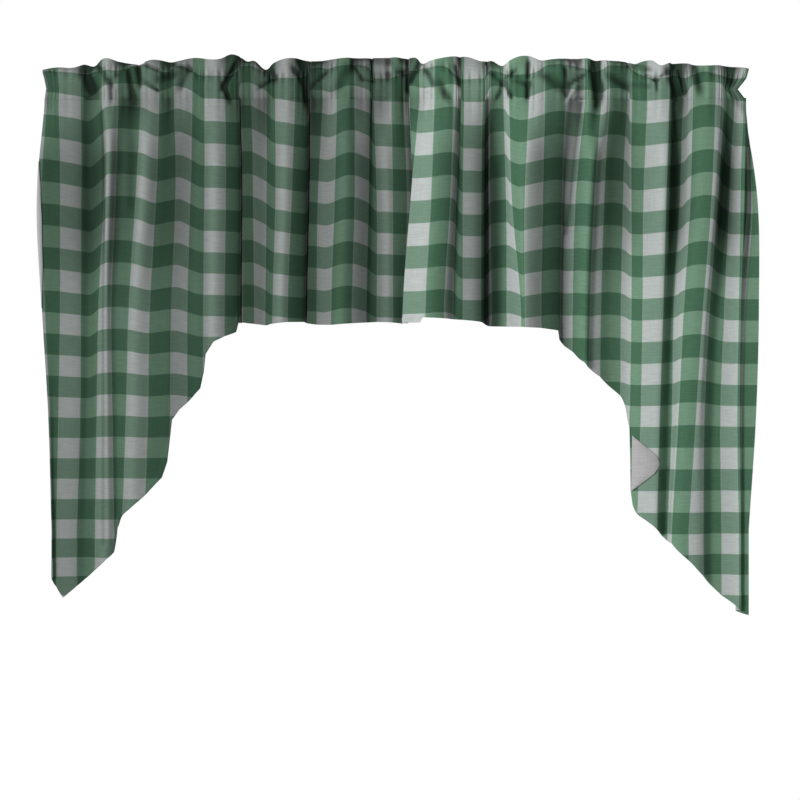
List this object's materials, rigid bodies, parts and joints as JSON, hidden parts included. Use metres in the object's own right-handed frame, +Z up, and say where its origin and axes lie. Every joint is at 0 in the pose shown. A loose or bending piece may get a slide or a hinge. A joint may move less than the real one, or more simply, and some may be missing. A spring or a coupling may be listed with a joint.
{
  "type": "window valance",
  "caption": "Pair of rod pocket swag panels in a woven check, level over the window's middle and cut down to a long tail at each side.",
  "frame": {"origin": "middle of the rod line, where the curtain rod's axis runs through the two pockets, half-way along the pair", "axes": "+X along the rod to the right as seen from the room, +Y to the wall, +Z up; the cloth faces -Y"},
  "size_m": [1.2733, 0.0669, 0.9854],
  "materials": {
    "heading_cloth": "matte woven cotton blend, gathered",
    "panel_cloth": "matte woven cotton blend, green and white check"
  },
  "bodies": {
    "root": {"left_heading": "heading_cloth", "left_panel": "panel_cloth", "right_heading": "heading_cloth", "right_panel": "panel_cloth"}
  },
  "joints": []
}
